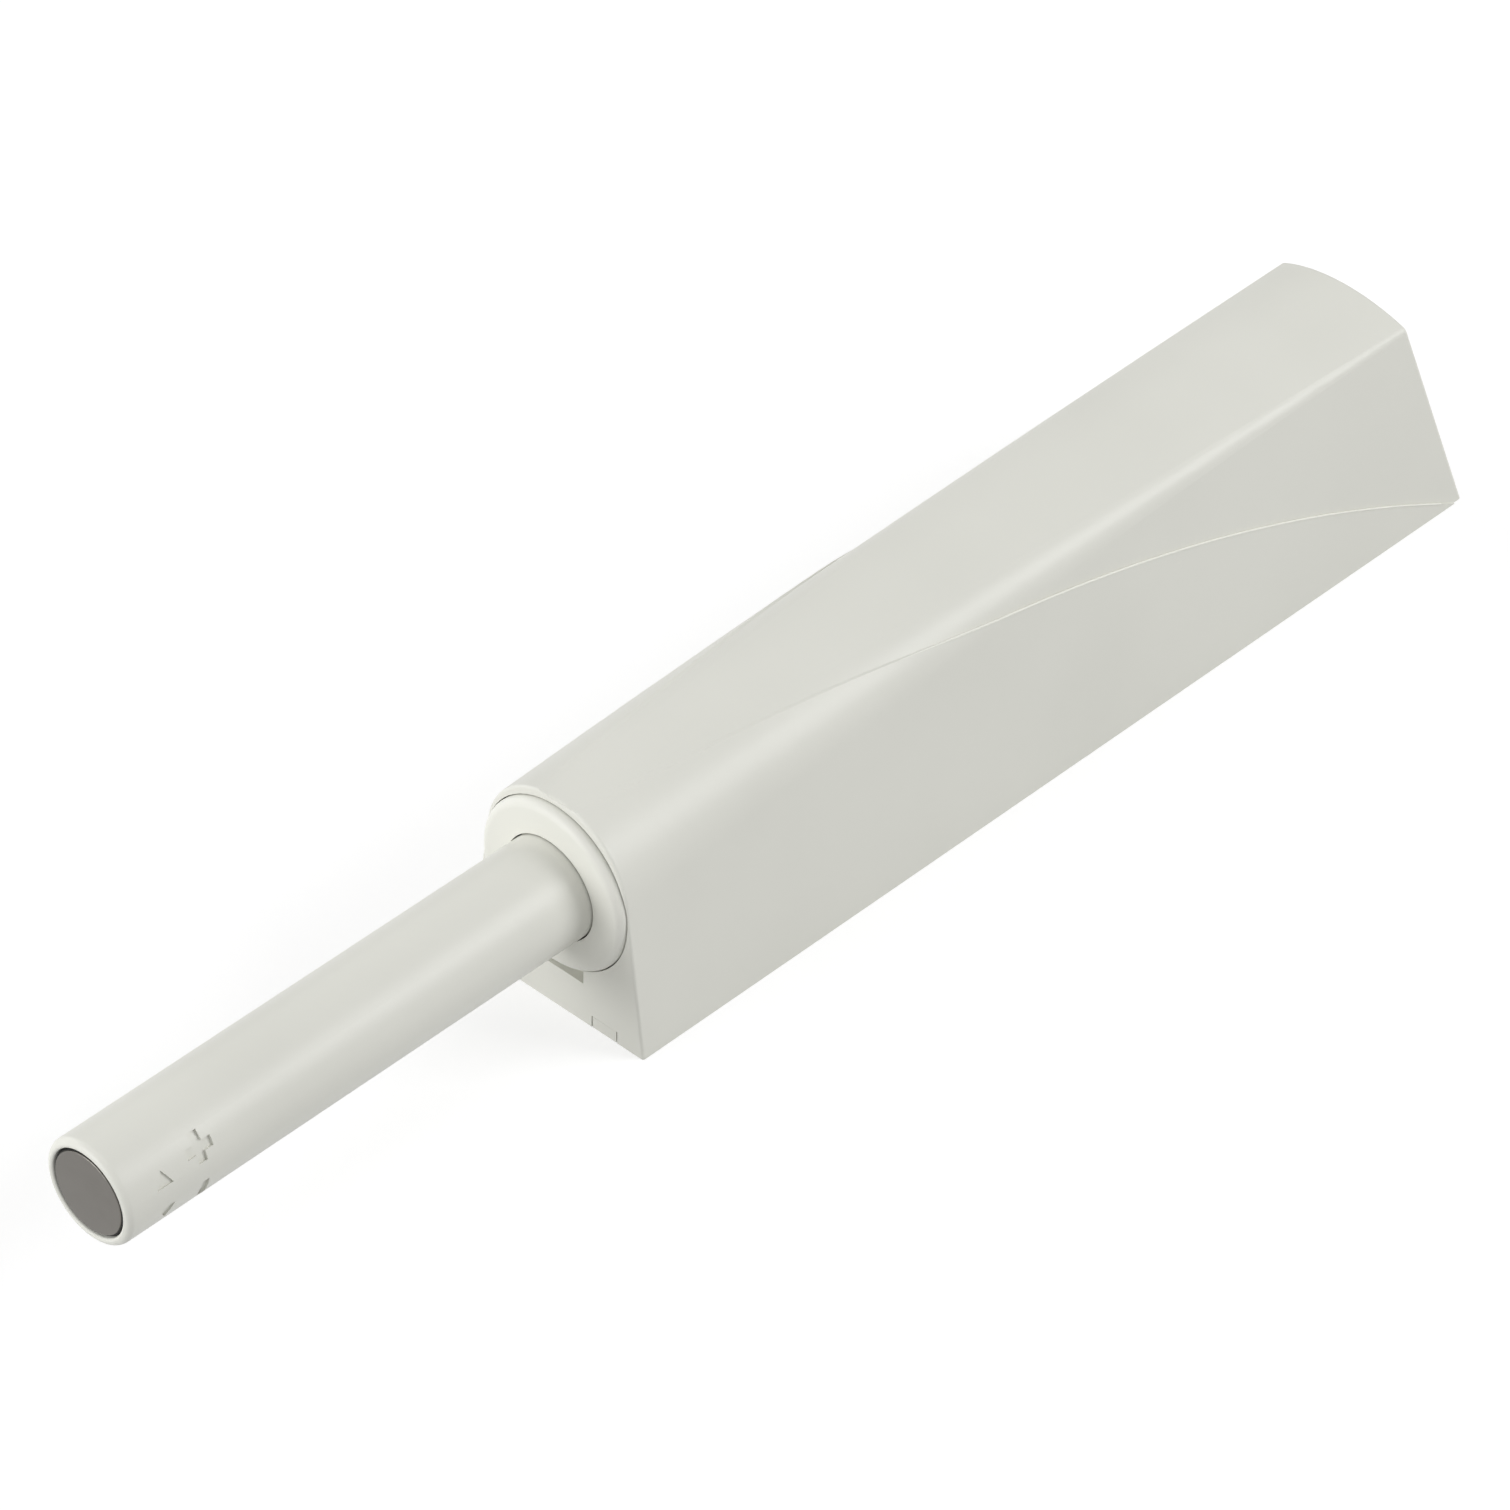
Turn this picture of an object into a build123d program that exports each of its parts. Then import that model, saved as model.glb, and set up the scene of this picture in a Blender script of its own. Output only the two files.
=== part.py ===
"""Push to open catch: a sprung plunger cartridge in a screw-on housing.

Millimetres. The origin is the centre of the base that rests on the cabinet, +Z is up
from it, and +Y runs to the rear, so the plunger comes out towards -Y. Stations along
the catch are measured from the housing's front face and called s; place() moves the
finished pieces from that face to the origin.
"""

import math
import os

from build123d import *

# Housing: its outline and its wall
HOUSING_LENGTH = 85.5
BASE_WIDTH = 16.6
FLANK_DRAFT = 7.73  # degrees off upright
CROWN_HEIGHT = 18.4  # at the rear
CROWN_FALL = 0.45  # how much lower the crown is at the front
CROWN_EASE = 3.0
CROWN_RADIUS = 12.5
CROWN_LAND = 0.21  # half the flat stretch between the front shoulders
REAR_SHOULDER = 0.45
SHOULDER_EASE = 1.4  # how the shoulder shrinks towards the rear
SHAPE_STATIONS = 6
FRONT_LEAN = 1.2  # degrees the front face leans back
REAR_LEAN = 16.0  # degrees the rear face leans forward
CREASE_STEP = 0.12
CREASE_DROP = 0.15  # below the crown, where the crease starts at the front
CREASE_COURSE = ((0.12, 0.957), (0.29, 0.921), (0.445, 0.829), (0.69, 0.563))  # shares of length, height
CREASE_END = 0.9  # ahead of the rear corner, on the base
FRONT_EDGE_ROUND = 0.2
REAR_EDGE_ROUND = 0.3
WALL = 1.5
FRONT_WALL = 4.6
REAR_WALL = 1.8
RIB_THICKNESS = 1.2
RIB_COUNT = 5
CAVITY_HEIGHT = 7.5
NOTCH_WIDTH = 5.2
NOTCH_DROP = 0.65  # how far the notch reaches below the flange
NOTCH_DEPTH = 0.9

# Cartridge: the barrel and what closes it
AXIS_HEIGHT = 10.65
BARREL_RADIUS = 5.0
BARREL_WALL = 0.7
BARREL_LENGTH = 79.4
FLANGE_RADIUS = 6.64
FLANGE_DEPTH = 1.4
FLANGE_PROUD = 0.4
FLANGE_EDGE_ROUND = 0.62
BEARING_LENGTH = 8.0
CAP_THICKNESS = 2.0
CAP_POST_LENGTH = 4.0
LUG_WIDTH = 3.0
LUG_LENGTH = 1.2
LUG_PROUD = 0.5
LUG_INSET = 0.4

# Plunger: the sleeve turned by hand, its magnet, and the core it screws on
STROKE = 37.0
SLEEVE_RADIUS = 4.0
SLEEVE_PROUD = 42.1
SLEEVE_INSIDE = 5.5
TIP_ROUND = 0.55
LIP_CHAMFER = 0.15
MAGNET_RADIUS = 3.19
MAGNET_LENGTH = 4.0
MAGNET_RECESS = 0.1
MAGNET_CHAMFER = 0.15
POLE_PLATE_LENGTH = 1.0
WEB_THICKNESS = 1.6
THREAD_RADIUS = 2.5
THREAD_RELIEF_RADIUS = 2.95
NUT_LENGTH = 13.0
CORE_FRONT = 14.0
THREAD_LEAD = 0.5
COLLAR_LENGTH = 3.0
STEM_RADIUS = 2.4

# Latch: the cut in the core and the wire that follows it
FLAT_HEIGHT = 1.2  # above the axis
TRACK_WIDTH = 3.0
TRACK_DEPTH = 1.0
TRACK_WALL = 0.6
WIRE_RADIUS = 0.3
WIRE_SWEEP = 1.1  # the tip's reach to each side of the middle
WIRE_FLOAT = 0.15  # gap under the wire and under its tip
OVERTRAVEL = 2.5
HEART_LENGTH = 4.2
HEART_WIDTH = 1.3
CLEFT_RADIUS = 0.42
TRACK_ENTRY = 1.5  # from the core's rear end to the wire's tip
LEAF_THICKNESS = 0.15
LEAF_WIDTH = 1.6
LEAF_LENGTH = 7.0
LEAF_SEAT = 0.8
LEAF_RISE = 0.25  # how far its seat lies above the wire
PIVOT_LEG = 1.0  # how far the wire's leg reaches below the axis

# Return spring
SPRING_RADIUS = 3.1  # to the middle of its wire
SPRING_WIRE = 0.35
SPRING_SIDES = 6  # flats round the wire
SPRING_TURNS = 10

# Mounting plate
PLATE_THICKNESS = 2.2
PLATE_WIDTH = 12.8
TAB_WIDTH = 2.24
TAB_HEIGHT = 0.95
TAB_OFFSET = 4.6
SCREW_SPACING = 32.0
SCREW_HOLE_RADIUS = 2.1
SCREW_HEAD_RADIUS = 3.5
SCREW_HEAD_ANGLE = 90
HOOK_WIDTH = 5.0
HOOK_THICKNESS = 1.1
HOOK_HEIGHT = 5.0
HOOK_NOSE = 0.6
HOOK_CATCH = 1.2
HOOK_LAND = 0.3

# Clearances
RUNNING_FIT = 0.06
LOOSE_FIT = 0.3
PUSH_FIT = 0.06
SEAT_GAP = 0.1
FLANGE_GAP = 0.08
BORE_FIT = 0.12  # round the sleeve at the flange
FACE_GAP = 0.02

# What follows from them
FLANK_SLOPE = math.tan(math.radians(FLANK_DRAFT))
FLANK_TILT = math.hypot(1, FLANK_SLOPE)
FRONT_CROWN = CROWN_HEIGHT - CROWN_FALL
FRONT_SHOULDER = (BASE_WIDTH / 2 - FRONT_CROWN * FLANK_SLOPE - CROWN_LAND) / (FLANK_TILT - FLANK_SLOPE)
FRONT_SLOPE = math.tan(math.radians(FRONT_LEAN))
REAR_SLOPE = math.tan(math.radians(REAR_LEAN))
BORE_RADIUS = BARREL_RADIUS - BARREL_WALL
BEARING_RADIUS = SLEEVE_RADIUS + BORE_FIT
COLLAR_RADIUS = BORE_RADIUS - RUNNING_FIT
COLLAR_START = BEARING_LENGTH + FACE_GAP
COLLAR_END = COLLAR_START + COLLAR_LENGTH
CAP_FACE = BARREL_LENGTH - CAP_THICKNESS
POST_FRONT = CAP_FACE - CAP_POST_LENGTH
PIVOT_STATION = CAP_FACE - CAP_POST_LENGTH / 2
STEM_END = POST_FRONT - STROKE - LOOSE_FIT
WIRE_TIP = STEM_END - TRACK_ENTRY
TRACK_START = WIRE_TIP - STROKE - WIRE_RADIUS - LOOSE_FIT
WIRE_HEIGHT = FLAT_HEIGHT + WIRE_FLOAT + WIRE_RADIUS
WIRE_REACH = PIVOT_STATION - WIRE_TIP
WIRE_REST_ANGLE = math.degrees(math.asin(WIRE_SWEEP / WIRE_REACH))
HOUSING_BORE = BARREL_RADIUS + RUNNING_FIT
HOUSING_BORE_END = BARREL_LENGTH + LOOSE_FIT
CAVITY_END = HOUSING_LENGTH - CAVITY_HEIGHT * REAR_SLOPE - REAR_WALL
PLATE_START = FRONT_WALL + SEAT_GAP
PLATE_END = CAVITY_END - SEAT_GAP
LATCHED_TIP = WIRE_TIP - STROKE + OVERTRAVEL
LEAF_LOW = AXIS_HEIGHT + WIRE_HEIGHT + WIRE_RADIUS + LEAF_RISE
LEAF_HIGH = LEAF_LOW + LEAF_THICKNESS + 2 * FACE_GAP
MAGNET_FACE = MAGNET_RECESS - SLEEVE_PROUD
CUP_END = MAGNET_FACE + MAGNET_LENGTH + POLE_PLATE_LENGTH + FACE_GAP
HOLLOW = 2 * BASE_WIDTH  # wider than any piece that a cut passes through


def place(shape):
    """Move a finished piece from the housing's front face to the origin."""
    return Pos(0, -HOUSING_LENGTH / 2, 0) * shape


def across(s, height=AXIS_HEIGHT):
    """Plane across the catch at station s, looking to the rear, centred at a height."""
    return Plane(origin=(0, s, height), x_dir=(-1, 0, 0), z_dir=(0, 1, 0))


def rod(radius, start, end):
    """Round bar on the plunger's axis, from one station to another."""
    return extrude(across(start) * Circle(radius), end - start)


def block(width, start, end, low, high, x=0):
    """Block centred at x, between two stations and two heights above the base."""
    size = Box(width, end - start, high - low, align=(Align.CENTER, Align.MIN, Align.MIN))
    return Pos(x, start, low) * size


def flank_at(height, inset=0):
    """Half the housing's width at a height, less an inset."""
    return BASE_WIDTH / 2 - inset - height * FLANK_SLOPE


def ahead_of_rear(s):
    """Share of the housing's length that lies behind a station."""
    return max(0.0, 1 - s / HOUSING_LENGTH)


def shoulder_at(s):
    """Radius of the rounded shoulder at a station: large at the front, small behind."""
    return REAR_SHOULDER + (FRONT_SHOULDER - REAR_SHOULDER) * ahead_of_rear(s) ** SHOULDER_EASE


def crown_height_at(s):
    """Height of the crown at a station, a little lower towards the front."""
    return CROWN_HEIGHT - CROWN_FALL * ahead_of_rear(s) ** CROWN_EASE


def housing_section(s, inset):
    """Cross-section of the housing: flat flanks, round shoulders and a shallow crown."""
    radius = shoulder_at(s)
    crown = CROWN_RADIUS - inset
    crown_centre = crown_height_at(s) - CROWN_RADIUS
    flank = BASE_WIDTH / 2 - inset
    # The shoulder's centre is a radius in from the flank and from the crown.
    reach = flank - radius * FLANK_TILT
    a = 1 + FLANK_SLOPE**2
    b = reach * FLANK_SLOPE + crown_centre
    c = reach**2 + crown_centre**2 - (crown - radius) ** 2
    centre_z = (b + math.sqrt(b * b - a * c)) / a
    centre_x = reach - FLANK_SLOPE * centre_z
    out_flank = math.atan2(FLANK_SLOPE, 1)
    out_crown = math.atan2(centre_z - crown_centre, centre_x)
    middle = (out_flank + out_crown) / 2

    def on_shoulder(angle, side):
        x = centre_x + radius * math.cos(angle)
        return Vector(side * x, s, centre_z + radius * math.sin(angle))

    low_right = Vector(flank, s, 0)
    low_left = Vector(-flank, s, 0)
    top = Vector(0, s, crown_height_at(s) - inset)
    outline = [
        Line(low_left, low_right),
        Line(low_right, on_shoulder(out_flank, 1)),
        ThreePointArc(on_shoulder(out_flank, 1), on_shoulder(middle, 1), on_shoulder(out_crown, 1)),
        ThreePointArc(on_shoulder(out_crown, 1), top, on_shoulder(out_crown, -1)),
        ThreePointArc(on_shoulder(out_crown, -1), on_shoulder(middle, -1), on_shoulder(out_flank, -1)),
        Line(on_shoulder(out_flank, -1), low_left),
    ]
    return Face(Wire(outline))


def leaning_end(form, foot, slope, edge_round):
    """Cut one end of the form along a face that leans inwards from its foot, and round its edges."""
    outward = 1 if foot > 0 else -1
    lean = Plane(origin=(0, foot, 0), x_dir=(1, 0, 0), z_dir=(0, outward, slope))
    form = split(form, bisect_by=lean, keep=Keep.BOTTOM)
    face = form.faces().filter_by(lambda face: abs(lean.to_local_coords(face.center()).Z) < FACE_GAP)
    return fillet(face.edges().sort_by(Axis.Z)[1:], edge_round)


def housing_form(inset):
    """Solid outline of the housing, drawn in by an inset, with its front and rear edges rounded."""
    beyond = HOUSING_LENGTH + REAR_WALL
    stations = [beyond * i / (SHAPE_STATIONS - 1) for i in range(SHAPE_STATIONS)]
    form = loft([housing_section(s, inset) for s in stations])
    form = leaning_end(form, 0, FRONT_SLOPE, FRONT_EDGE_ROUND)
    return leaning_end(form, HOUSING_LENGTH, REAR_SLOPE, REAR_EDGE_ROUND)


def above_crease():
    """Everything above the crease that sweeps from the front of the crown down to the rear of the base."""
    front_height = crown_height_at(0) - CREASE_DROP
    course = [(0, length * HOUSING_LENGTH, height * CROWN_HEIGHT) for length, height in CREASE_COURSE]
    crease = Spline((0, -WALL, front_height), *course, (0, HOUSING_LENGTH - CREASE_END, 0))
    beyond = Polyline(
        crease @ 1,
        (0, HOUSING_LENGTH + HOLLOW, 0),
        (0, HOUSING_LENGTH + HOLLOW, HOLLOW),
        (0, -WALL, HOLLOW),
        crease @ 0,
    )
    profile = make_face([crease, beyond])
    return extrude(profile, HOLLOW, dir=(1, 0, 0), both=True)


def cavity():
    """Space under the barrel between the flank walls, parted by the ribs that the barrel lies on."""
    low = PLATE_THICKNESS + FACE_GAP
    end = CAVITY_END
    outline = Polyline(
        (-flank_at(low, WALL), FRONT_WALL, low),
        (flank_at(low, WALL), FRONT_WALL, low),
        (flank_at(CAVITY_HEIGHT, WALL), FRONT_WALL, CAVITY_HEIGHT),
        (-flank_at(CAVITY_HEIGHT, WALL), FRONT_WALL, CAVITY_HEIGHT),
        close=True,
    )
    space = extrude(make_face(outline), end - FRONT_WALL, dir=(0, 1, 0))
    pitch = (end - FRONT_WALL) / (RIB_COUNT + 1)
    for i in range(RIB_COUNT):
        middle = FRONT_WALL + pitch * (i + 1)
        space -= block(HOLLOW, middle - RIB_THICKNESS / 2, middle + RIB_THICKNESS / 2, 0, CAVITY_HEIGHT)
    return space


def housing():
    """Moulded housing: bore and seat for the barrel, ribs under it and a pocket for the plate."""
    shell = housing_form(0) - above_crease() + housing_form(CREASE_STEP)
    shell -= rod(HOUSING_BORE, 0, HOUSING_BORE_END)
    shell -= rod(FLANGE_RADIUS + FLANGE_GAP, 0, FLANGE_DEPTH)
    notch_floor = AXIS_HEIGHT - FLANGE_RADIUS - NOTCH_DROP
    shell -= block(NOTCH_WIDTH, 0, NOTCH_DEPTH, notch_floor, AXIS_HEIGHT)
    shell -= cavity()
    pocket_width = PLATE_WIDTH + 2 * SEAT_GAP
    shell -= block(pocket_width, FRONT_WALL, CAVITY_END, 0, PLATE_THICKNESS + FACE_GAP)
    for side in (-1, 1):
        notch_width = TAB_WIDTH + 2 * SEAT_GAP
        shell -= block(notch_width, 0, FRONT_WALL, 0, TAB_HEIGHT + FACE_GAP, side * TAB_OFFSET)
    shell -= block(
        HOOK_WIDTH + 2 * SEAT_GAP,
        CAVITY_END,
        CAVITY_END + HOOK_NOSE + SEAT_GAP,
        HOOK_HEIGHT - HOOK_CATCH - SEAT_GAP,
        HOOK_HEIGHT + SEAT_GAP,
    )
    return shell


def mounting_plate():
    """Plate screwed to the cabinet: two tabs in front and a hook behind hold the housing on it."""
    plate = block(PLATE_WIDTH, PLATE_START, PLATE_END, 0, PLATE_THICKNESS)
    for side in (-1, 1):
        plate += block(TAB_WIDTH, TAB_HEIGHT * FRONT_SLOPE, PLATE_START, 0, TAB_HEIGHT, side * TAB_OFFSET)
    hook = Polyline(
        (0, PLATE_END - HOOK_THICKNESS, PLATE_THICKNESS),
        (0, PLATE_END, PLATE_THICKNESS),
        (0, PLATE_END, HOOK_HEIGHT - HOOK_CATCH),
        (0, PLATE_END + HOOK_NOSE, HOOK_HEIGHT - HOOK_CATCH),
        (0, PLATE_END + HOOK_NOSE, HOOK_HEIGHT - HOOK_CATCH + HOOK_LAND),
        (0, PLATE_END - HOOK_THICKNESS / 2, HOOK_HEIGHT),
        (0, PLATE_END - HOOK_THICKNESS, HOOK_HEIGHT),
        close=True,
    )
    plate += extrude(make_face(hook), HOOK_WIDTH / 2, dir=(1, 0, 0), both=True)
    for side in (-1, 1):
        hole = CounterSinkHole(SCREW_HOLE_RADIUS, SCREW_HEAD_RADIUS, PLATE_THICKNESS, SCREW_HEAD_ANGLE)
        plate -= Pos(0, HOUSING_LENGTH / 2 + side * SCREW_SPACING / 2, PLATE_THICKNESS) * hole
    return plate


def barrel():
    """Tube with a rounded flange in front, a bearing for the sleeve and a wider bore behind it."""
    flange_back = FLANGE_DEPTH - FACE_GAP
    flange = rod(FLANGE_RADIUS, -FLANGE_PROUD, flange_back)
    flange = fillet(flange.faces().sort_by(Axis.Y)[0].edges(), FLANGE_EDGE_ROUND)
    tube = rod(BARREL_RADIUS, 0, BARREL_LENGTH)
    tube = chamfer(tube.edges().sort_by(Axis.Y)[-1], BARREL_WALL / 2)
    tube += flange
    tube -= rod(BEARING_RADIUS, -FLANGE_PROUD, BEARING_LENGTH)
    tube -= rod(BORE_RADIUS, BEARING_LENGTH, BARREL_LENGTH)
    window_start = CAP_FACE + LUG_INSET - SEAT_GAP
    window_end = CAP_FACE + LUG_INSET + LUG_LENGTH + SEAT_GAP
    half = LUG_WIDTH / 2 + SEAT_GAP
    tube -= block(HOLLOW, window_start, window_end, AXIS_HEIGHT - half, AXIS_HEIGHT + half)
    return tube


def end_cap():
    """Plug that closes the barrel, with lugs in its windows and a post that the guide wire turns on."""
    cap = rod(BORE_RADIUS - PUSH_FIT, CAP_FACE, BARREL_LENGTH)
    post = rod(STEM_RADIUS, POST_FRONT, CAP_FACE)
    post -= block(HOLLOW, POST_FRONT, CAP_FACE, AXIS_HEIGHT + FLAT_HEIGHT, AXIS_HEIGHT + STEM_RADIUS)
    lug_start = CAP_FACE + LUG_INSET
    lugs = rod(BORE_RADIUS + LUG_PROUD, lug_start, lug_start + LUG_LENGTH)
    half = LUG_WIDTH / 2
    lugs &= block(HOLLOW, lug_start, lug_start + LUG_LENGTH, AXIS_HEIGHT - half, AXIS_HEIGHT + half)
    cap += post + lugs
    pivot_depth = AXIS_HEIGHT - PIVOT_LEG - WIRE_FLOAT
    pivot = Cylinder(WIRE_RADIUS + RUNNING_FIT, HOLLOW, align=(Align.CENTER, Align.CENTER, Align.MIN))
    cap -= Pos(0, PIVOT_STATION, pivot_depth) * pivot
    cap -= block(LEAF_WIDTH + SEAT_GAP, CAP_FACE, CAP_FACE + LEAF_SEAT, LEAF_LOW, LEAF_HIGH)
    return cap


def heart():
    """Outline of the island in the track: the wire's tip passes on one side and rests in its cleft."""
    half = HEART_WIDTH / 2
    outline = Polyline(
        (0, LATCHED_TIP + HEART_LENGTH),
        (-half, LATCHED_TIP + HEART_LENGTH / 3),
        (-half, LATCHED_TIP),
        (-CLEFT_RADIUS, LATCHED_TIP - CLEFT_RADIUS / 2),
        (CLEFT_RADIUS, LATCHED_TIP - CLEFT_RADIUS / 2),
        (half, LATCHED_TIP),
        (half, LATCHED_TIP + HEART_LENGTH / 3),
        close=True,
    )
    return make_face(outline) - Pos(0, LATCHED_TIP, 0) * Circle(CLEFT_RADIUS)


def plunger_core():
    """Core of the plunger: threaded stretch, collar that stops on the bearing, and the latch's track."""
    flat = AXIS_HEIGHT + FLAT_HEIGHT
    floor = flat - TRACK_DEPTH
    core = rod(THREAD_RADIUS, -CORE_FRONT, COLLAR_START)
    core = chamfer(core.edges().sort_by(Axis.Y)[0], THREAD_LEAD)
    core += rod(STEM_RADIUS, COLLAR_START, STEM_END)
    core -= block(HOLLOW, TRACK_START - TRACK_WALL, STEM_END, flat, flat + STEM_RADIUS)
    collar = rod(COLLAR_RADIUS, COLLAR_START, COLLAR_END)
    notch_width = TRACK_WIDTH + 2 * LOOSE_FIT
    collar -= block(notch_width, COLLAR_START, COLLAR_END, flat, flat + COLLAR_RADIUS)
    core += collar
    core -= block(TRACK_WIDTH, TRACK_START, STEM_END, floor, flat)
    core += Pos(0, 0, floor) * extrude(heart(), TRACK_DEPTH)
    return core


def guide_wire():
    """Bent wire that turns on the end cap's post, with its tip down in the core's track."""
    height = AXIS_HEIGHT + WIRE_HEIGHT
    tip_low = AXIS_HEIGHT + FLAT_HEIGHT - TRACK_DEPTH + WIRE_FLOAT
    route = FilletPolyline(
        (0, -WIRE_REACH, tip_low),
        (0, -WIRE_REACH, height),
        (0, 0, height),
        (0, 0, AXIS_HEIGHT - PIVOT_LEG),
        radius=2 * WIRE_RADIUS,
    )
    start = Plane(origin=route @ 0, z_dir=route % 0)
    wire = sweep(start * Circle(WIRE_RADIUS), route)
    return Pos(0, PIVOT_STATION, 0) * Rot(0, 0, -WIRE_REST_ANGLE) * wire


def leaf_spring():
    """Thin strip seated in the end cap that bears on the top of the guide wire."""
    wire_top = AXIS_HEIGHT + WIRE_HEIGHT + WIRE_RADIUS + FACE_GAP
    seat = LEAF_LOW + FACE_GAP
    touch = CAP_FACE - LEAF_LENGTH
    lower = [
        (0, CAP_FACE + LEAF_SEAT - FACE_GAP, seat),
        (0, CAP_FACE - LEAF_SEAT, seat),
        (0, touch + LEAF_SEAT, wire_top),
        (0, touch, wire_top + LEAF_THICKNESS),
    ]
    upper = [(x, s, z + LEAF_THICKNESS) for x, s, z in reversed(lower)]
    strip = make_face(Polyline(*lower, *upper, close=True))
    return extrude(strip, LEAF_WIDTH / 2, dir=(1, 0, 0), both=True)


def return_spring():
    """Compression spring between the collar and the end cap, its end turns ground flat."""
    start = COLLAR_END + FACE_GAP
    end = CAP_FACE - FACE_GAP
    height = end - start - SPRING_WIRE
    coil = Helix(height / SPRING_TURNS, height, SPRING_RADIUS)
    section = Plane(origin=coil @ 0, z_dir=coil % 0) * RegularPolygon(SPRING_WIRE, SPRING_SIDES)
    wire = sweep(section, coil, is_frenet=True)
    wire = Pos(0, start + SPRING_WIRE / 2, AXIS_HEIGHT) * Rot(-90, 0, 0) * wire
    return wire & block(HOLLOW, start, end, -HOLLOW, HOLLOW)


def plunger_sleeve():
    """Tube that shows: a cup for the magnet at its tip and a nut stretch inside its rear."""
    tip = -SLEEVE_PROUD
    sleeve = rod(SLEEVE_RADIUS, tip, SLEEVE_INSIDE)
    sleeve = fillet(sleeve.edges().sort_by(Axis.Y)[0], TIP_ROUND)
    sleeve = chamfer(sleeve.edges().sort_by(Axis.Y)[-1], REAR_EDGE_ROUND)
    sleeve -= rod(MAGNET_RADIUS + PUSH_FIT, tip, CUP_END)
    sleeve = chamfer(sleeve.faces().sort_by(Axis.Y)[0].inner_wires().edges(), LIP_CHAMFER)
    sleeve -= rod(THREAD_RELIEF_RADIUS, CUP_END + WEB_THICKNESS, SLEEVE_INSIDE - NUT_LENGTH)
    sleeve -= rod(THREAD_RADIUS + RUNNING_FIT, SLEEVE_INSIDE - NUT_LENGTH, SLEEVE_INSIDE)
    return sleeve


def magnet():
    """Round magnet at the bottom of the cup, a little below its lip."""
    disc = rod(MAGNET_RADIUS, MAGNET_FACE, MAGNET_FACE + MAGNET_LENGTH)
    return chamfer(disc.edges().sort_by(Axis.Y)[0], MAGNET_CHAMFER)


def pole_plate():
    """Steel disc behind the magnet."""
    start = MAGNET_FACE + MAGNET_LENGTH
    return rod(MAGNET_RADIUS, start, start + POLE_PLATE_LENGTH)


PIECES = {
    "housing": housing,
    "mounting_plate": mounting_plate,
    "barrel": barrel,
    "end_cap": end_cap,
    "plunger_core": plunger_core,
    "guide_wire": guide_wire,
    "leaf_spring": leaf_spring,
    "return_spring": return_spring,
    "plunger_sleeve": plunger_sleeve,
    "magnet": magnet,
    "pole_plate": pole_plate,
}


def main():
    os.makedirs("parts", exist_ok=True)
    for name, make in PIECES.items():
        export_step(place(make()), f"parts/{name}.step")


main()
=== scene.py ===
"""Looks of the push to open catch: off-white mouldings, a nickel magnet and bright spring steel.

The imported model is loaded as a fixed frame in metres, +Z up and the plunger towards -Y. Sizes of
shapes are written in millimetres and angles in degrees.
"""

import math

import bpy
from mathutils import Matrix, Vector


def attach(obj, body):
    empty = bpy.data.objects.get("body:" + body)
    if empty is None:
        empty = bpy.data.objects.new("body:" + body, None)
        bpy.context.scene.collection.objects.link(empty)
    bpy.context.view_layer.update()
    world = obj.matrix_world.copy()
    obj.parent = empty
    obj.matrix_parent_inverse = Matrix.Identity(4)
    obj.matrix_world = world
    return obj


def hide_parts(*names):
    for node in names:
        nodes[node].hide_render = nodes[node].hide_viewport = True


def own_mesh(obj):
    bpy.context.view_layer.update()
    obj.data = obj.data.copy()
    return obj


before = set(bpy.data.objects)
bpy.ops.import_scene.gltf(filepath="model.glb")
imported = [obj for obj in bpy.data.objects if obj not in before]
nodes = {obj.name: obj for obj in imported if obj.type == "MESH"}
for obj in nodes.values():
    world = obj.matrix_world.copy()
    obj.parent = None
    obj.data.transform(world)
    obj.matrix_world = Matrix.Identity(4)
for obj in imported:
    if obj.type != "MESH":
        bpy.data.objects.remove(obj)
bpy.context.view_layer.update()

MM = 0.001
WHITE = (1, 1, 1, 1)


# Camera

CAMERA_PLACE = (0.282145, -0.315159, 0.349336)  # metres
CAMERA_DOWN = 39.869
CAMERA_ROUND = 44.036
CAMERA_LENS = 184.4
CAMERA_SENSOR = 36
CAMERA_CLIP = (0.01, 20)  # metres


def add_camera():
    """The long lens that looks down on the catch from its right front."""
    turn = (math.radians(90 - CAMERA_DOWN), 0, math.radians(CAMERA_ROUND))
    bpy.ops.object.camera_add(location=CAMERA_PLACE, rotation=turn)
    camera = bpy.context.object
    camera.name = "camera"
    camera.data.lens = CAMERA_LENS
    camera.data.sensor_width = CAMERA_SENSOR
    camera.data.clip_start, camera.data.clip_end = CAMERA_CLIP
    bpy.context.scene.camera = camera


add_camera()


# Materials

NOISE_LOW, NOISE_HIGH = 0.3, 0.7  # nearly all of a noise lies between these
BLEND_FROM, BLEND_TO = 0.35, 0.65  # where in a noise one colour passes into the other
PLASTIC_CLOUDS = (60, 2.0, 0.5)  # cells to the metre, detail and roughness of a noise
PLASTIC_GRAIN = (5200, 3.0, 0.6)
GRAIN_DEPTH = 0.012
GRAIN_STRENGTH = 0.25
PLASTIC_IOR = 1.46
PLASTIC_UNEVEN = 0.04  # how far the roughness strays to each side
METAL_DETAIL = (4.0, 0.6)  # detail and roughness of its noise
METAL_UNEVEN = 0.06


def srgb(red, green, blue):
    """A screen colour of 0 to 255 as the linear colour that a shader takes."""
    linear = []
    for value in (red, green, blue):
        share = value / 255
        linear.append(share / 12.92 if share <= 0.04045 else ((share + 0.055) / 1.055) ** 2.4)
    return (*linear, 1.0)


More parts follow.
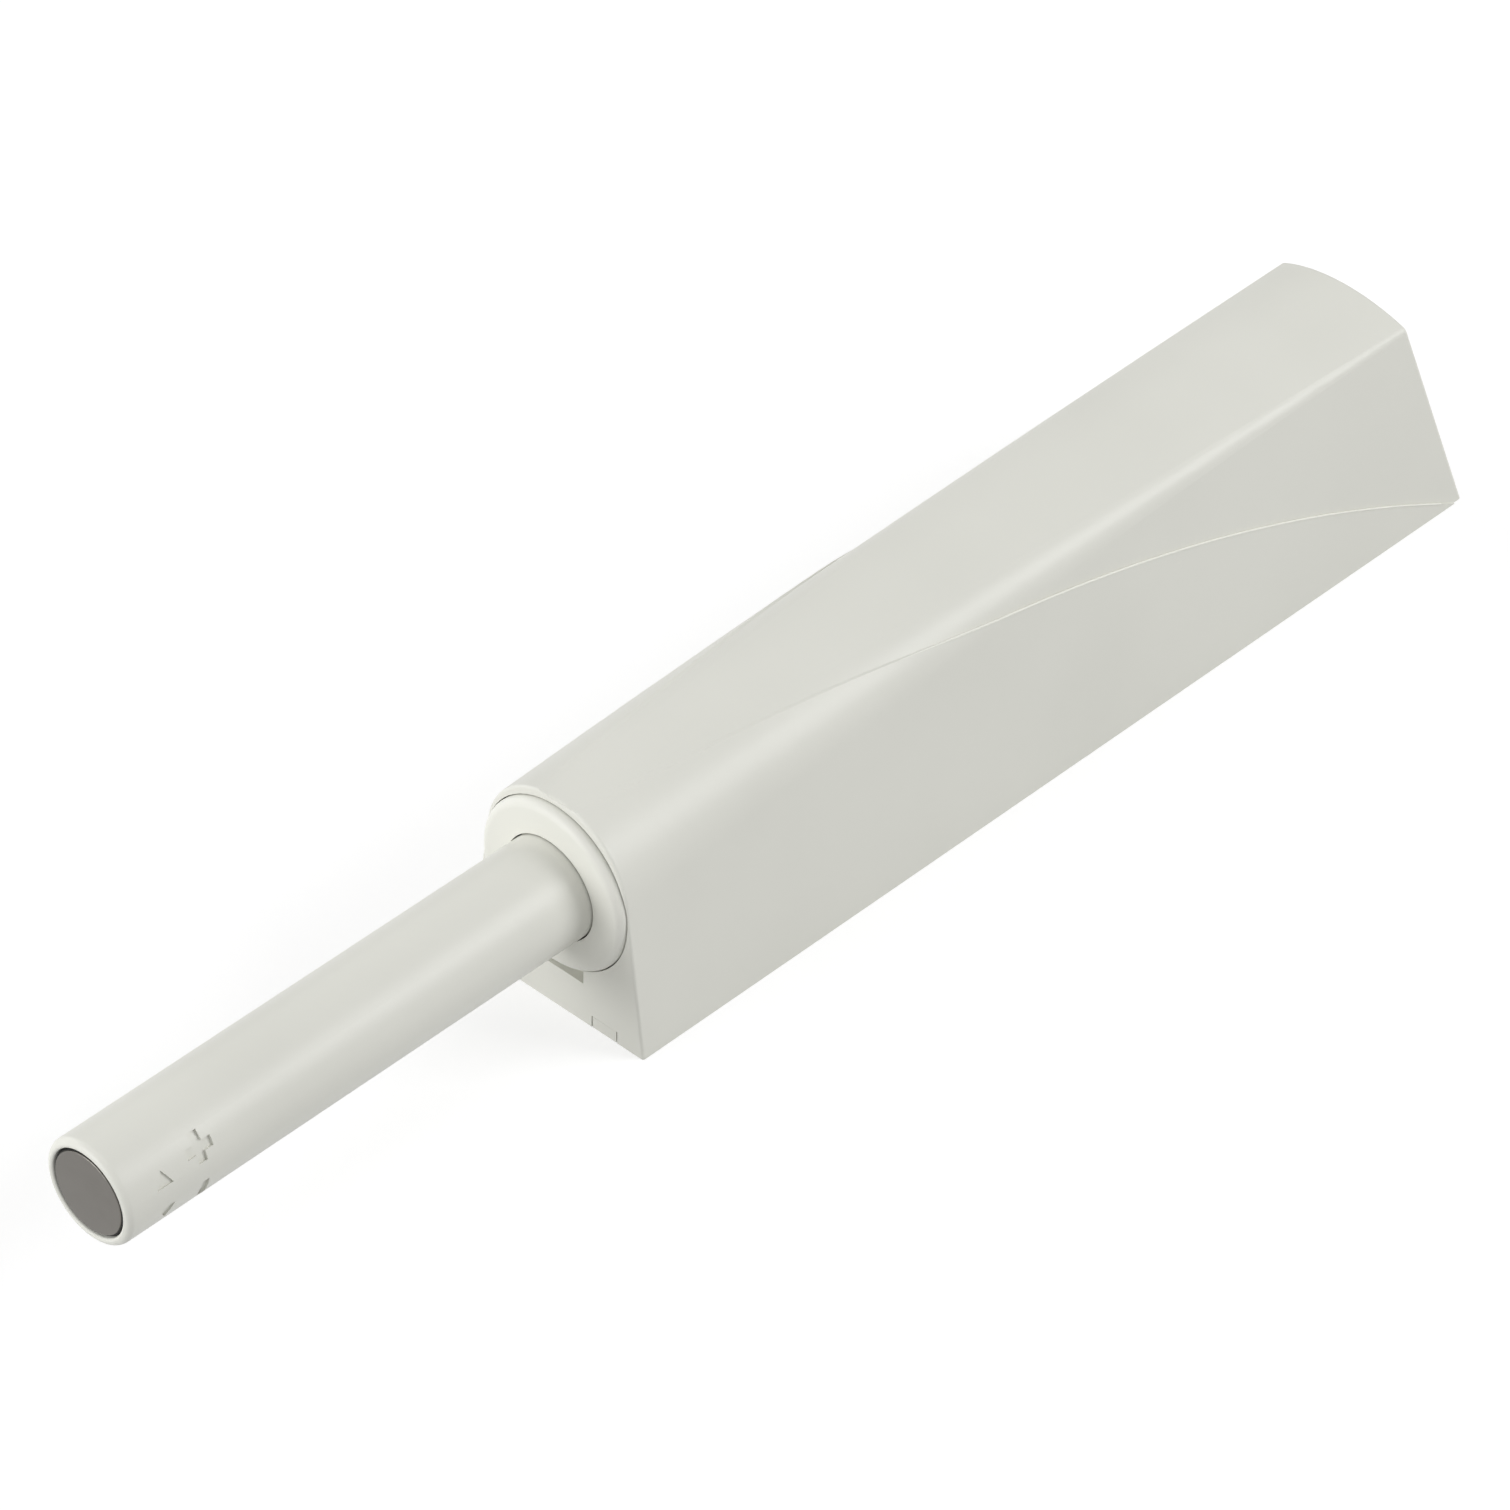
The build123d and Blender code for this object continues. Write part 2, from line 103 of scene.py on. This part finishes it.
def new_material(name):
    """A material with its node tree, shader and object coordinates to hand."""
    material = bpy.data.materials.new(name)
    material.use_nodes = True
    tree = material.node_tree
    shader = tree.nodes["Principled BSDF"]
    place = tree.nodes.new("ShaderNodeTexCoord")
    return material, tree, shader, place


def noise(tree, place, scale, detail, roughness):
    """Noise on object coordinates, so many cells to the metre."""
    node = tree.nodes.new("ShaderNodeTexNoise")
    node.inputs["Scale"].default_value = scale
    node.inputs["Detail"].default_value = detail
    node.inputs["Roughness"].default_value = roughness
    tree.links.new(place.outputs["Object"], node.inputs["Vector"])
    return node


def uneven(tree, source, middle, stray):
    """Noise spread to both sides of a plain value."""
    node = tree.nodes.new("ShaderNodeMapRange")
    node.inputs["From Min"].default_value = NOISE_LOW
    node.inputs["From Max"].default_value = NOISE_HIGH
    node.inputs["To Min"].default_value = middle - stray
    node.inputs["To Max"].default_value = middle + stray
    tree.links.new(source, node.inputs["Value"])
    return node


def blend_colours(tree, source, dark, light):
    """A colour between two, chosen by a noise."""
    node = tree.nodes.new("ShaderNodeValToRGB")
    node.color_ramp.elements[0].position = BLEND_FROM
    node.color_ramp.elements[0].color = dark
    node.color_ramp.elements[1].position = BLEND_TO
    node.color_ramp.elements[1].color = light
    tree.links.new(source, node.inputs["Fac"])
    return node


def moulded_plastic(name, dark, light, roughness):
    """Satin moulded plastic: faint clouding, and the fine grain of an eroded mould."""
    material, tree, shader, place = new_material(name)
    clouds = noise(tree, place, *PLASTIC_CLOUDS)
    colour = blend_colours(tree, clouds.outputs["Fac"], dark, light)
    tree.links.new(colour.outputs["Color"], shader.inputs["Base Color"])
    grain = noise(tree, place, *PLASTIC_GRAIN)
    gloss = uneven(tree, grain.outputs["Fac"], roughness, PLASTIC_UNEVEN)
    tree.links.new(gloss.outputs["Result"], shader.inputs["Roughness"])
    bump = tree.nodes.new("ShaderNodeBump")
    bump.inputs["Strength"].default_value = GRAIN_STRENGTH
    bump.inputs["Distance"].default_value = GRAIN_DEPTH * MM
    tree.links.new(grain.outputs["Fac"], bump.inputs["Height"])
    tree.links.new(bump.outputs["Normal"], shader.inputs["Normal"])
    shader.inputs["IOR"].default_value = PLASTIC_IOR
    return material


def worn_metal(name, dark, light, roughness, scale):
    """Plated or drawn metal: uneven polish with faint scuffs."""
    material, tree, shader, place = new_material(name)
    scuffs = noise(tree, place, scale, *METAL_DETAIL)
    colour = blend_colours(tree, scuffs.outputs["Fac"], dark, light)
    tree.links.new(colour.outputs["Color"], shader.inputs["Base Color"])
    shader.inputs["Metallic"].default_value = 1.0
    polish = uneven(tree, scuffs.outputs["Fac"], roughness, METAL_UNEVEN)
    tree.links.new(polish.outputs["Result"], shader.inputs["Roughness"])
    return material


housing_plastic = moulded_plastic(
    "housing_plastic", srgb(224, 224, 216), srgb(227, 227, 219), 0.42
)
barrel_plastic = moulded_plastic("barrel_plastic", srgb(230, 230, 222), srgb(233, 233, 225), 0.42)
plunger_plastic = moulded_plastic("plunger_plastic", srgb(222, 222, 214), srgb(226, 226, 218), 0.4)
plate_plastic = moulded_plastic("plate_plastic", srgb(222, 222, 214), srgb(226, 226, 218), 0.5)
inner_plastic = moulded_plastic("inner_plastic", srgb(206, 206, 200), srgb(214, 214, 207), 0.42)
magnet_nickel = worn_metal("magnet_nickel", srgb(116, 113, 108), srgb(121, 118, 113), 0.34, 400)
pole_steel = worn_metal("pole_steel", srgb(150, 150, 152), srgb(170, 170, 172), 0.3, 600)
spring_steel = worn_metal("spring_steel", srgb(170, 170, 172), srgb(196, 196, 196), 0.22, 1500)
# painted shade: near-black colour for the ring in the gap between the magnet and its cup
gap_shade = moulded_plastic("gap_shade", srgb(14, 14, 13), srgb(20, 20, 19), 0.55)
# painted highlight: lighter than the housing, so the crease bead shows as a bright line
crease_highlight = moulded_plastic("crease_highlight", srgb(239, 239, 231), srgb(242, 242, 234), 0.35)

FINISHES = {
    "housing": housing_plastic,
    "mounting_plate": plate_plastic,
    "barrel": barrel_plastic,
    "end_cap": inner_plastic,
    "plunger_core": inner_plastic,
    "plunger_sleeve": plunger_plastic,
    "guide_wire": spring_steel,
    "leaf_spring": spring_steel,
    "return_spring": spring_steel,
    "magnet": magnet_nickel,
    "pole_plate": pole_steel,
}


def finish_nodes():
    """Give each node of the frame its material."""
    for name, material in FINISHES.items():
        for slot in nodes[name].material_slots:
            slot.material = material


finish_nodes()


# Solids drawn out ring by ring along the catch

AXIS = 10.65  # height of the plunger's axis above the base
FRONT = -42.75  # the housing's front face, from which stations along the catch are measured
TURNED_SIDES = 192
TURNED_SMOOTH = 30  # most between two faces that are shaded as one
ARC_STEPS = 8


def on_axis(station):
    """Place of a station on the plunger's axis, in metres."""
    return (0, (FRONT + station) * MM, AXIS * MM)


def select_only(piece):
    """Make an object active, with no other selected."""
    bpy.ops.object.select_all(action="DESELECT")
    piece.select_set(True)
    bpy.context.view_layer.objects.active = piece


def put_in_mesh(piece):
    """Put an object's place, turn and size into its mesh."""
    select_only(piece)
    bpy.ops.object.transform_apply(location=True, rotation=True, scale=True)


def begin_solid(name, place, radius, sides):
    """Start a solid with a filled ring that faces along the catch, ready to draw out."""
    bpy.ops.object.select_all(action="DESELECT")
    bpy.ops.mesh.primitive_circle_add(
        vertices=sides,
        radius=radius * MM,
        fill_type="NGON",
        location=place,
        rotation=(math.pi / 2, 0, 0),
    )
    piece = bpy.context.object
    piece.name = name
    put_in_mesh(piece)
    bpy.ops.object.mode_set(mode="EDIT")
    bpy.ops.mesh.select_all(action="SELECT")
    return piece


def close_solid():
    """Finish the solid that is being drawn, its faces turned outwards."""
    bpy.ops.mesh.select_all(action="SELECT")
    bpy.ops.mesh.normals_make_consistent(inside=False)
    bpy.ops.object.mode_set(mode="OBJECT")


def turned(name, profile):
    """Solid turned on the axis from (station, radius) pairs, its two end rings closed flat."""
    station, radius = profile[0]
    piece = begin_solid(name, on_axis(station), radius, TURNED_SIDES)
    for place, size in profile[1:]:
        step = (0, (place - station) * MM, 0)
        bpy.ops.mesh.extrude_region_move(TRANSFORM_OT_translate={"value": step})
        growth = (size / radius, 1, size / radius)
        bpy.ops.transform.resize(value=growth, center_override=on_axis(place))
        station, radius = place, size
    close_solid()
    return piece


def arc(station, radius, size, start, turn, steps=ARC_STEPS):
    """Points round a centre, as (station, radius) pairs, from one angle on."""
    angles = [math.radians(start + turn * i / steps) for i in range(steps + 1)]
    return [(station + size * math.cos(a), radius + size * math.sin(a)) for a in angles]


def cut(piece, cutter):
    """Cut one solid out of another and remove it."""
    select_only(piece)
    difference = piece.modifiers.new("cut", "BOOLEAN")
    difference.operation = "DIFFERENCE"
    difference.solver = "EXACT"
    difference.object = cutter
    bpy.ops.object.modifier_apply(modifier=difference.name)
    bpy.data.objects.remove(cutter)


def stand_for(node, piece, body):
    """Let a piece stand for a node of the frame: smooth, finished and carried by its body."""
    select_only(piece)
    bpy.ops.object.shade_smooth_by_angle(angle=math.radians(TURNED_SMOOTH))
    piece.data.materials.clear()
    piece.data.materials.append(FINISHES[node])
    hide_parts(node)
    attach(piece, body)


# Crease along the flanks

LEDGE_INSIDE = 5.0  # the ledge lies farther than this from the middle
LEDGE_SIDEWAYS = 0.06  # most X of its faces' normals, which leaves out the flanks
LEDGE_REARWARD = 0.004  # least Y, as it falls to the rear
LEDGE_UPWARD = 0.6  # least Z
CREASE_START = -16.0  # on Y, where the crease begins to show
CREASE_END = 41.0
CREASE_STEP = 0.8  # least distance between two rings of the bead
CREASE_BEAD = 0.08  # radius
CREASE_SIDES = 10
CREASE_SINK = 0.02  # how far the bead's middle lies inside the edge and below it
CREASE_TAPER = 4  # rings over which the bead grows from its fading end
CREASE_GROWTH = 1.35  # from one of them to the next
CREASE_SMOOTH = 50


def crease_course(side):
    """Points of the outer edge of the housing's ledge along one flank, from front to rear."""
    mesh = nodes["housing"].data
    edges = {}
    for face in mesh.polygons:
        sideways, rearward, upward = face.normal
        level = abs(sideways) < LEDGE_SIDEWAYS and upward > LEDGE_UPWARD
        outside = side * face.center.x > LEDGE_INSIDE * MM
        if level and rearward > LEDGE_REARWARD and outside:
            for key in face.edge_keys:
                edges.setdefault(key, []).append(face)
    rim = []
    for key, faces in edges.items():
        start, end = (mesh.vertices[i].co for i in key)
        outward = (end - start).cross(faces[0].normal)
        outward *= side if outward.x > 0 else -side
        if len(faces) == 1 and ((start + end) / 2 - faces[0].center).dot(outward) > 0:
            rim += [start, end]
    rim = sorted((c for c in rim if CREASE_START < c.y / MM < CREASE_END), key=lambda c: c.y)
    course = rim[:1]
    for corner in rim:
        if corner.y - course[-1].y > CREASE_STEP * MM:
            course.append(corner)
    return course


def add_crease(name, side):
    """Fine rounded bead along the crease, coloured lighter than the housing as a painted highlight.
    """
    sunk = Vector((-side * CREASE_SINK, 0, -CREASE_SINK)) * MM
    course = [corner + sunk for corner in crease_course(side)]
    radius = CREASE_BEAD / CREASE_GROWTH**CREASE_TAPER
    bead = begin_solid(name, course[0], radius, CREASE_SIDES)
    for ring, (last, place) in enumerate(zip(course, course[1:])):
        bpy.ops.mesh.extrude_region_move(TRANSFORM_OT_translate={"value": place - last})
        if ring < CREASE_TAPER:
            bpy.ops.transform.resize(value=(CREASE_GROWTH,) * 3, center_override=place)
    close_solid()
    bpy.ops.object.shade_smooth_by_angle(angle=math.radians(CREASE_SMOOTH))
    bead.data.materials.append(crease_highlight)
    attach(bead, "casing")


# Magnet

MAGNET_RADIUS = 3.12
MAGNET_BACK = -38.0
MAGNET_FACE = -42.03
MAGNET_EDGE = 0.1  # radius of the tumbled edge
# the near-black ring fills the gap round the magnet, as painted shade of that gap
RING_PROFILE = [(-38.0, 3.24), (-41.25, 3.24), (-41.3, 3.31), (-41.72, 3.31), (-41.93, 3.16)]
RING_BORE = (-37, -43)  # past both of its ends


def add_magnet():
    """Disc with a flat ground face and a tumbled front edge, in a near-black ring that is painted
    shade of the gap round it.
    """
    edge = arc(MAGNET_FACE + MAGNET_EDGE, MAGNET_RADIUS - MAGNET_EDGE, MAGNET_EDGE, 90, 90)
    magnet = turned("magnet_disc", [(MAGNET_BACK, MAGNET_RADIUS), *edge])
    stand_for("magnet", magnet, "tip")
    ring = turned("gap_shade", RING_PROFILE)
    cut(ring, turned("bore", [(end, MAGNET_RADIUS) for end in RING_BORE]))
    ring.data.materials.clear()
    ring.data.materials.append(gap_shade)
    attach(ring, "tip")


# Sleeve, with the marks for turning it

SLEEVE_RADIUS = 4.0
SLEEVE_PROFILE = [
    (-35.38, 2.95),  # the bore, from behind the cup's floor to the nut
    (-7.5, 2.95),
    (-7.5, 2.56),  # the nut
    (5.5, 2.56),
    (5.5, 3.7),  # the rear edge
    (5.2, SLEEVE_RADIUS),
    *arc(-41.55, 3.45, 0.55, 90, 85),  # the tip's outer round
    *arc(-41.9, 3.52, 0.2, 180, 90, 6),  # the cup's mouth
    (-41.25, 3.32),
    (-41.2, 3.25),  # the cup
    (-36.98, 3.25),
]
BARS = (  # station, angle round the sleeve, length along it and width round it
    (-35.46, 29.3, 0.74, 2.25),  # the plus
    (-35.46, 28.3, 2.2, 0.76),
    (-35.46, -26.5, 0.74, 2.25),  # the minus
)
BAR_DEPTH = 0.2
ARROWS = (  # station, angle round the sleeve, and the turn of its point
    (-38.75, 19.3, 0),
    (-38.75, -16.8, 180),
)
ARROW_SIZE = 0.8  # from the middle to a corner
ARROW_DEPTH = 0.15
CUTTER_HEIGHT = 1.6
CORE_ENDS = (-45, -30)  # past the marks on both sides


def on_sleeve(shape, station, angle, turn):
    """Stand a shape on the sleeve: X lies along the catch, Y round the sleeve and Z out from it."""
    lie = Matrix(((0, 0, 1, 0), (1, 0, 0, 0), (0, 1, 0, 0), (0, 0, 0, 1)))
    out = Matrix.Translation((SLEEVE_RADIUS * MM, 0, 0))
    round_axis = Matrix.Rotation(math.radians(-angle), 4, "Y")
    about = Matrix.Rotation(math.radians(turn), 4, "Z")
    place = Matrix.Translation(on_axis(station))
    shape.matrix_world = place @ round_axis @ out @ lie @ about
    put_in_mesh(shape)


def sink(shape, sleeve, depth):
    """Cut a shape into the sleeve, its floor at an even depth under the surface."""
    cut(shape, turned("core", [(end, SLEEVE_RADIUS - depth) for end in CORE_ENDS]))
    cut(sleeve, shape)


def add_sleeve():
    """Sleeve with the magnet's cup, the nut's bore, and the sunk marks to turn it by."""
    sleeve = turned("sleeve", SLEEVE_PROFILE)
    for station, angle, length, width in BARS:
        bpy.ops.object.select_all(action="DESELECT")
        bpy.ops.mesh.primitive_cube_add(size=1)
        bar = bpy.context.object
        bar.scale = (length * MM, width * MM, CUTTER_HEIGHT * MM)
        put_in_mesh(bar)
        on_sleeve(bar, station, angle, 0)
        sink(bar, sleeve, BAR_DEPTH)
    for station, angle, turn in ARROWS:
        bpy.ops.object.select_all(action="DESELECT")
        bpy.ops.mesh.primitive_cylinder_add(
            vertices=3, radius=ARROW_SIZE * MM, depth=CUTTER_HEIGHT * MM
        )
        arrow = bpy.context.object
        on_sleeve(arrow, station, angle, turn)
        sink(arrow, sleeve, ARROW_DEPTH)
    stand_for("plunger_sleeve", sleeve, "sleeve")


add_crease("crease_right", 1)
add_crease("crease_left", -1)
add_magnet()
add_sleeve()


# Stage and light

FLOOR_SIZE = 6  # metres
FLOOR_COLOUR = srgb(190, 190, 190)
FLOOR_ROUGHNESS = 0.9
FLOOR_SHEEN = 0.1
FLOOR_LIFT = 0.575  # own light, seen but not cast
ROOM_LIGHT = 0.44
BACKDROP_LIGHT = 1.0
LAMP_SIZE = 0.5  # metres
LAMP_AIM = (0, -0.02, 0.01)  # the middle of the catch
LAMPS = {  # place in metres, and power in watts
    "left_lamp": ((-0.93, -0.2, 0.32), 1.9),
    "front_lamp": ((-0.4, -0.87, 0.3), 3.3),
    "low_lamp": ((-0.1, -0.99, 0.1), 2.6),
    "rear_lamp": ((0.64, 0.55, 0.53), 4.7),
    "top_lamp": ((0, -0.02, 1), 1.0),
}


def greater(tree, first, second):
    """The greater of two values."""
    node = tree.nodes.new("ShaderNodeMath")
    node.operation = "MAXIMUM"
    tree.links.new(first, node.inputs[0])
    tree.links.new(second, node.inputs[1])
    return node.outputs["Value"]


def add_floor():
    """Pale floor that keeps the catch's shadow and is white to the camera."""
    bpy.ops.mesh.primitive_plane_add(size=FLOOR_SIZE, location=(0, 0, 0))
    floor = bpy.context.object
    floor.name = "floor"
    material, tree, shader, _ = new_material("floor_paper")
    shader.inputs["Base Color"].default_value = FLOOR_COLOUR
    shader.inputs["Roughness"].default_value = FLOOR_ROUGHNESS
    shader.inputs["Specular IOR Level"].default_value = FLOOR_SHEEN
    path = tree.nodes.new("ShaderNodeLightPath")
    seen = greater(tree, path.outputs["Is Camera Ray"], path.outputs["Is Glossy Ray"])
    seen = greater(tree, seen, path.outputs["Is Transmission Ray"])
    lift = tree.nodes.new("ShaderNodeMath")
    lift.operation = "MULTIPLY"
    lift.inputs[1].default_value = FLOOR_LIFT
    tree.links.new(seen, lift.inputs[0])
    shader.inputs["Emission Color"].default_value = WHITE
    tree.links.new(lift.outputs["Value"], shader.inputs["Emission Strength"])
    floor.data.materials.append(material)


def add_world():
    """Soft white room, plain white where the camera sees it."""
    world = bpy.data.worlds.new("room")
    bpy.context.scene.world = world
    world.use_nodes = True
    tree = world.node_tree
    room = tree.nodes["Background"]
    room.inputs["Color"].default_value = WHITE
    room.inputs["Strength"].default_value = ROOM_LIGHT
    backdrop = tree.nodes.new("ShaderNodeBackground")
    backdrop.inputs["Color"].default_value = WHITE
    backdrop.inputs["Strength"].default_value = BACKDROP_LIGHT
    path = tree.nodes.new("ShaderNodeLightPath")
    choose = tree.nodes.new("ShaderNodeMixShader")
    tree.links.new(path.outputs["Is Camera Ray"], choose.inputs["Fac"])
    tree.links.new(room.outputs["Background"], choose.inputs[1])
    tree.links.new(backdrop.outputs["Background"], choose.inputs[2])
    tree.links.new(choose.outputs["Shader"], tree.nodes["World Output"].inputs["Surface"])


def add_lamps():
    """Square soft lamps aimed at the catch."""
    for name, (place, power) in LAMPS.items():
        bpy.ops.object.light_add(type="AREA", location=place)
        lamp = bpy.context.object
        lamp.name = name
        lamp.data.size = LAMP_SIZE
        lamp.data.energy = power
        aim = Vector(LAMP_AIM) - Vector(place)
        lamp.rotation_euler = aim.to_track_quat("-Z", "Y").to_euler()


add_floor()
add_world()
add_lamps()


# Spring


def squash_spring():
    """Give the return spring a mesh of its own."""
    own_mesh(nodes["return_spring"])


squash_spring()

bpy.context.scene.view_settings.view_transform = "Standard"
